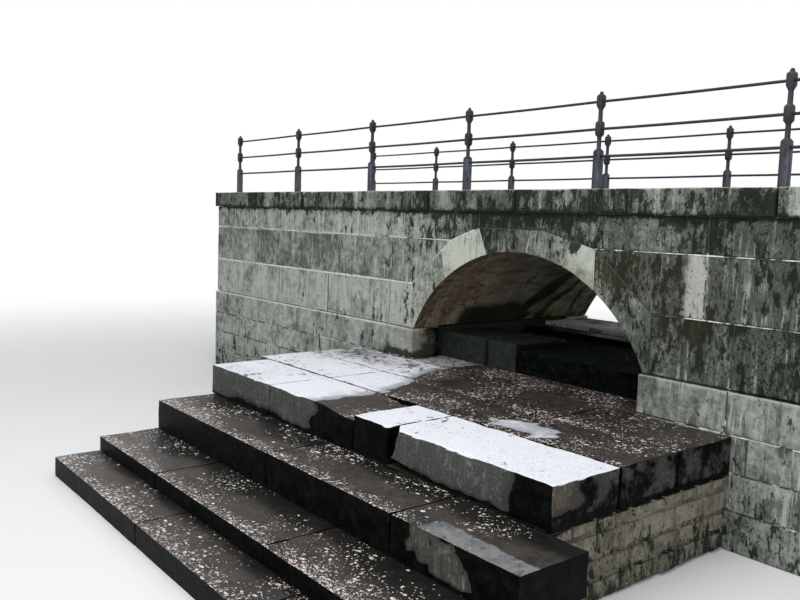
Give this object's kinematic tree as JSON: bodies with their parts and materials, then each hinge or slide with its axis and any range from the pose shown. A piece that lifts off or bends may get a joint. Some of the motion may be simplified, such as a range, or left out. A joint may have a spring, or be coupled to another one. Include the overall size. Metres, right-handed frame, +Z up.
{
  "type": "stone arch bridge",
  "caption": "Low stone footbridge with one segmental arch, cast iron railings, a weir under the arch and a flagged apron with steps down to the stream.",
  "frame": {"origin": "on the flat underside of the masonry, straight below the middle of the arch, in the plane of the front wall face", "axes": "+X along the walls, to the right as seen from the apron; +Y through the arch from the front wall to the rear wall; +Z up"},
  "size_m": [17.1, 9.07, 4.862],
  "materials": {
    "wall_stone": "weathered grey-green sandstone with dark run-off streaks and moss",
    "coping_stone": "dark mossy sandstone",
    "ring_stone": "pale cream sandstone, dressed, with grey weathering",
    "mortar": "whitish lime mortar",
    "vault_render": "damp lime render, brown and green stains",
    "rubble": "rubble masonry set in lime",
    "gravel": "rolled gravel and earth",
    "slab_stone": "sawn stone slab, dry and pale with worn edges",
    "wet_stone": "wet dark stone with leaf litter",
    "iron": "black paint, worn to bluish grey on the lit faces"
  },
  "bodies": {
    "root": {"front_plinth_left": "wall_stone", "front_plinth_right": "wall_stone", "rear_plinth_left": "wall_stone", "rear_plinth_right": "wall_stone", "front_wall_left": "wall_stone", "front_wall_right": "wall_stone", "rear_wall_left": "wall_stone", "rear_wall_right": "wall_stone", "front_top_course": "wall_stone", "rear_top_course": "wall_stone", "front_coping": "coping_stone", "rear_coping": "coping_stone", "front_arch_ring": "ring_stone", "front_ring_mortar": "mortar", "rear_arch_ring": "ring_stone", "rear_ring_mortar": "mortar", "barrel_vault": "vault_render", "left_abutment": "vault_render", "right_abutment": "vault_render", "left_fill": "rubble", "crown_fill": "rubble", "right_fill": "rubble", "footway": "gravel", "arch_foundation": "rubble", "apron_foundation": "rubble", "step_foundation": "rubble", "arch_floor": "wet_stone", "apron_back_row": "slab_stone", "apron_middle_row": "slab_stone", "apron_front_row": "slab_stone", "upper_step": "wet_stone", "middle_step": "wet_stone", "lower_step": "wet_stone", "weir_sill": "wet_stone", "weir_left_block": "slab_stone", "weir_middle_block": "slab_stone", "upper_bed": "wet_stone", "lower_slab": "wet_stone", "rear_threshold": "slab_stone", "front_posts": "iron", "rear_posts": "iron", "front_rails": "iron", "rear_rails": "iron"}
  },
  "joints": []
}
